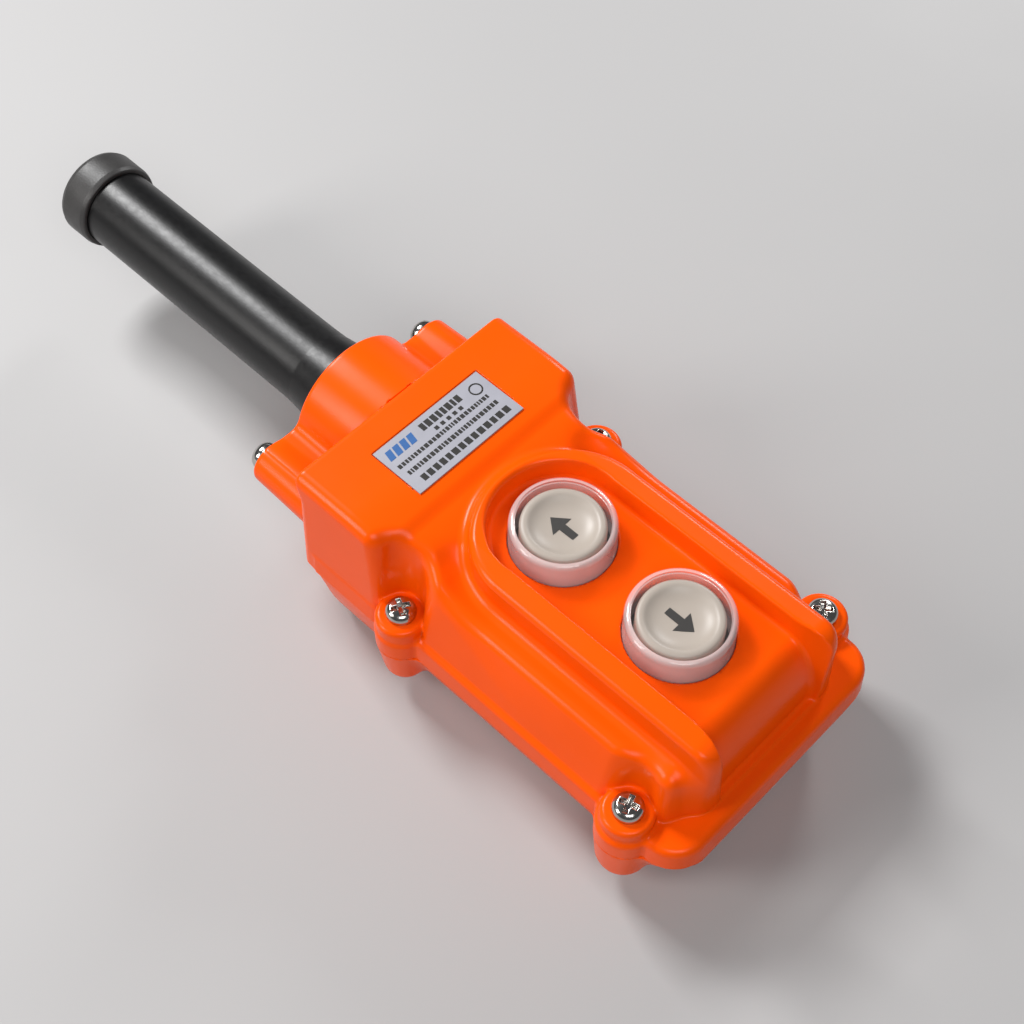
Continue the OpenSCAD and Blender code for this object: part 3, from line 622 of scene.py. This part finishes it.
def boot(tag, cy):
    ob = auto_smooth(lathe("clear_boot_" + tag, BOOT, 96, "z", (0, cy, 0)), 60)
    dress(ob, CLEAR, "clear_boot", "button_boot_" + tag)
    ob.data.materials.append(CLEAR_TOP)
    for face in ob.data.polygons:
        e = face.center / MM
        if e.z > 57 and math.hypot(e.x, e.y - cy) < 12.4:
            face.material_index = 1
    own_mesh(ob)

def spring(tag, cy):
    """Coil of round wire with closed ends, from the floor of its pocket to the plunger."""
    turns, per_turn, around = 7, 36, 10
    coil_r, wire_r = 3.4, 0.45
    z0, z1 = 5.1, 20.3
    n = turns * per_turn
    rise = z1 - z0 - 2 * wire_r
    v = []
    for i in range(n + 1):
        a = 2 * math.pi * turns * i / n
        t = i / n
        zc = z0 + wire_r + rise * min(max((t - 0.1) / 0.8, 0), 1) * 0.94 + t * rise * 0.06
        for k in range(around):
            w = 2 * math.pi * k / around
            r = coil_r + wire_r * math.cos(w)
            v.append((r * math.cos(a), cy + r * math.sin(a), zc + wire_r * math.sin(w)))
    f = [tuple(range(around)), tuple(len(v) - 1 - k for k in range(around))]
    for i in range(n):
        for k in range(around):
            k2 = (k + 1) % around
            f.append((around * i + k, around * i + k2, around * (i + 1) + k2, around * (i + 1) + k))
    ob = mesh_object("return_coil_" + tag, v, f)
    fix_normals(ob)
    dress(ob, CHROME, "bright_steel", "return_spring_" + tag)
    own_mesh(ob)

for tag, cy in (("up", UP_Y), ("down", DOWN_Y)):
    for piece in (cap, arrow, boot, spring):
        piece(tag, cy)

# name plate with plain blocks where the printing is
PLATE_X, PLATE_HALF = 18.9, 8.8
PRINT_Z0, PRINT_Z1 = 57.62, 57.70
# (first x, last x, y, height, narrowest, widest, gap) of the small rows of blocks
PRINT_ROWS = [(-17.2, 16.8, 0.2, 1.3, 0.5, 1.2, 0.35),
              (-16.6, 17.2, -2.9, 1.4, 0.5, 1.2, 0.35),
              (-15.2, 16.4, -6.9, 2.1, 1.5, 1.9, 0.6)]
rng = np.random.default_rng(7)

def block(x0, width, y0, height, lean=0.0):
    y0 += PLATE_Y
    x1, y1 = x0 + width, y0 + height
    return prism("b", [(x0, y0), (x1, y0), (x1 + lean, y1), (x0 + lean, y1)], PRINT_Z0, PRINT_Z1)

outline = [(-PLATE_X, PLATE_Y - PLATE_HALF), (PLATE_X, PLATE_Y - PLATE_HALF),
           (PLATE_X, PLATE_Y + PLATE_HALF), (-PLATE_X, PLATE_Y + PLATE_HALF)]
dress(prism("name_plate_foil", outline, PLATE_Z, 57.66, 0.08), FOIL, "plate_film", "name_plate")
blues = [block(-17.2 + i * 2.5, 1.9, 3.6, 3.2, 0.7) for i in range(4)]
blocks = []
x = -4.5
while x < 10:
    w = rng.uniform(1.0, 1.7)
    blocks.append(block(x, w, 4.6, 2.4))
    x += w + 0.45
x = -2.0
while x < 7.5:
    blocks.append(block(x, 1.2, 2.4, 1.2))
    x += 2.2
for x, x1, y0, height, narrow, wide, gap in PRINT_ROWS:
    while x < x1 - wide:
        w = rng.uniform(narrow, wide)
        blocks.append(block(x, w, y0, height))
        x += w + gap
ring = lathe("plate_ring", [(1.55, PRINT_Z0), (2.0, PRINT_Z0), (2.0, PRINT_Z1), (1.55, PRINT_Z1)], 40, "z",
             (14.6, PLATE_Y + 4.6, 0))
prints = join("name_plate_blocks", blocks + blues + [ring])
dress(prints, INK, "plate_ink", "name_plate_print")
prints.data.materials.append(BLUE)
for poly in prints.data.polygons:
    c = poly.center / MM
    if c.x < -5.5 and c.y > PLATE_Y + 3.2:
        poly.material_index = 1

# materials of the CAD pieces that stay
KEPT = {
    SEAL: ("cover_gasket",),
    BRASS: ("cover_inserts", "collar_inserts", "fixed_contacts"),
    COPPER: ("contact_bridges_up", "contact_bridges_down"),
    BLACK: ("boot_clamp_plate", "switch_base"),
    PHENOL: ("plunger_up", "plunger_down", "switch_housing"),
    ZINC: ("gland_washer", "boot_clamp_screws", "terminal_screws", "switch_mount_screws", "cable_strap",
           "cable_strap_screws"),
}
for mat, names in KEPT.items():
    for name in names:
        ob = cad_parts[name]
        ob.data.materials.clear()
        ob.data.materials.append(mat)

# ---------------------------------------------------------------- floor, light and camera
bm = bmesh.new()
bmesh.ops.create_grid(bm, x_segments=40, y_segments=40, size=3.0)
me = bpy.data.meshes.new("floor")
bm.to_mesh(me)
bm.free()
floor = bpy.data.objects.new("floor", me)
floor.location.z = -0.4 * MM
scene.collection.objects.link(floor)
floor.data.materials.append(material("floor_card", (0.40, 0.395, 0.395), 0.6, vary=0.01, scale=3, bump=0))
floor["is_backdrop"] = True

world = bpy.data.worlds.new("studio")
world.use_nodes = True
world.node_tree.nodes["Background"].inputs[0].default_value = (0.80, 0.82, 0.86, 1)
world.node_tree.nodes["Background"].inputs[1].default_value = 0.12
scene.world = world

def softbox(name, loc, target, sx, sy, power, colour=(1, 1, 1)):
    """A rectangular light in metres and watts."""
    L = bpy.data.lights.new(name, "AREA")
    L.shape = "RECTANGLE"
    L.size, L.size_y = sx, sy
    L.energy = power
    L.color = colour
    o = bpy.data.objects.new(name, L)
    o.location = loc
    o.rotation_mode = "QUATERNION"
    o.rotation_quaternion = (Vector(target) - Vector(loc)).to_track_quat("-Z", "Y")
    scene.collection.objects.link(o)

softbox("left_low", (-0.84, 0.52, 0.66), (0, 0.08, 0.05), 0.34, 0.50, 6.5, (1, 0.98, 0.96))
softbox("rear_over", (0.02, 0.88, 0.93), (0, 0.10, 0.04), 0.40, 0.30, 14)
softbox("over_camera", (-0.55, -0.75, 1.15), (0, 0.0, 0.03), 0.8, 0.6, 9)
softbox("right_back", (0.95, 0.30, 0.55), (0, 0.0, 0.03), 0.25, 0.30, 4)

cam = bpy.data.cameras.new("camera")
co = bpy.data.objects.new("camera", cam)
scene.collection.objects.link(co)
az, el = math.radians(-46.0), math.radians(56.385)
back = Vector((math.sin(az) * math.cos(el), -math.cos(az) * math.cos(el), math.sin(el)))
right = Vector((math.cos(az), math.sin(az), 0))
m = Matrix((right, back.cross(right), back)).transposed().to_4x4()
m.translation = Vector((-0.1754, -0.1432, 0.4103))
co.matrix_world = m
cam.lens, cam.sensor_width = 59.235, 36
cam.clip_start, cam.clip_end = 0.01, 50
scene.camera = co

lo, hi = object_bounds()
